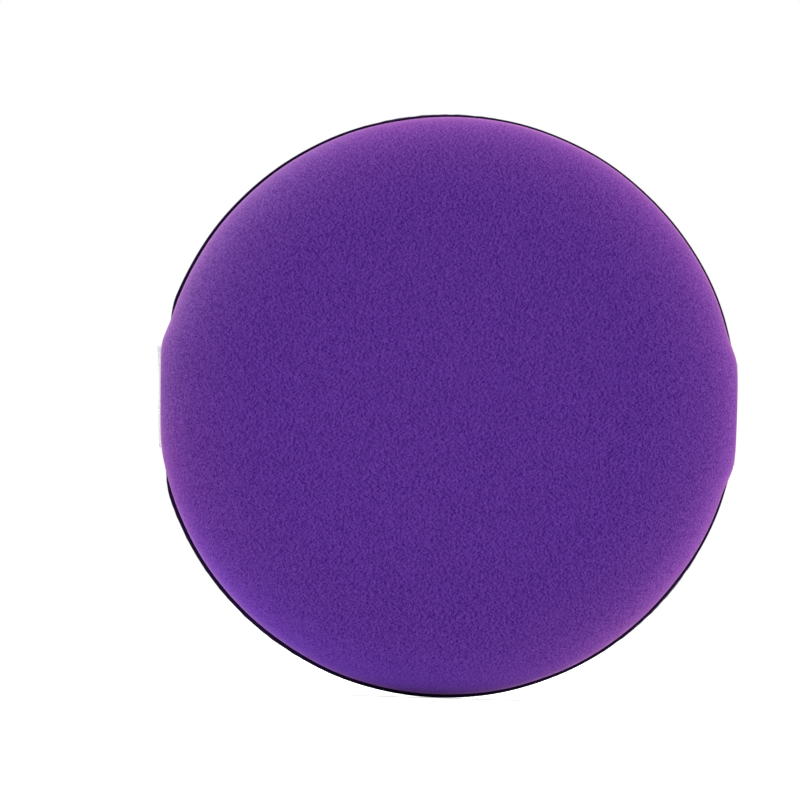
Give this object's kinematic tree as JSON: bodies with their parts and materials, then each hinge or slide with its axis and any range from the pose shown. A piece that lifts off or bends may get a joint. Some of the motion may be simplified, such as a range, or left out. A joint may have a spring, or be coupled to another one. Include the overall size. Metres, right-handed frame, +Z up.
{
  "type": "powder puff",
  "caption": "Round soft make-up puff with a domed microfoam face, a satin back, a welded rim and a ribbon loop for the fingers.",
  "frame": {"origin": "under the middle of the puff's box, on the small flat of the rim that it stands on", "axes": "+Z up, +Y out of the satin back, -Y out of the purple face, X along the ribbon"},
  "size_m": [0.0546, 0.0142, 0.0545],
  "materials": {
    "microfoam": "matt, finely pored purple foam",
    "crushed_foam": "dark, melted and crushed foam",
    "clear_film": "thin milky film",
    "sponge": "open white foam",
    "satin": "warm white satin",
    "ribbon": "white satin ribbon with looped edges"
  },
  "bodies": {
    "pad": {"face_skin": "microfoam", "barrier_film": "clear_film", "foam_core": "sponge", "back_foam": "sponge", "satin_back": "satin", "rim_weld_upper": "crushed_foam", "rim_weld_lower": "crushed_foam", "strap_left_tab": "ribbon", "strap_right_tab": "ribbon"},
    "strap_middle": {"strap_band": "ribbon"},
    "strap_left": {"strap_left_ramp": "ribbon"},
    "strap_right": {"strap_right_ramp": "ribbon"}
  },
  "joints": [
    {"name": "strap_lift", "type": "slide", "parent": "pad", "child": "strap_middle", "axis": [0, 1, 0], "range_m": [-0.003, 0.003], "stiffness_N_per_m": 100},
    {"name": "strap_left_swing", "type": "hinge", "parent": "pad", "child": "strap_left", "pos_m": [-0.02672, 0.00134, 0.027], "axis": [0, 0, 1], "range_deg": [-13, 13]},
    {"name": "strap_right_swing", "type": "hinge", "parent": "pad", "child": "strap_right", "pos_m": [0.02672, 0.00134, 0.027], "axis": [0, 0, 1], "range_deg": [-13, 13]}
  ],
  "couplings": [
    {"joint": "strap_left_swing", "follows": "strap_lift", "rad_per_m": 72},
    {"joint": "strap_right_swing", "follows": "strap_lift", "rad_per_m": -72}
  ]
}
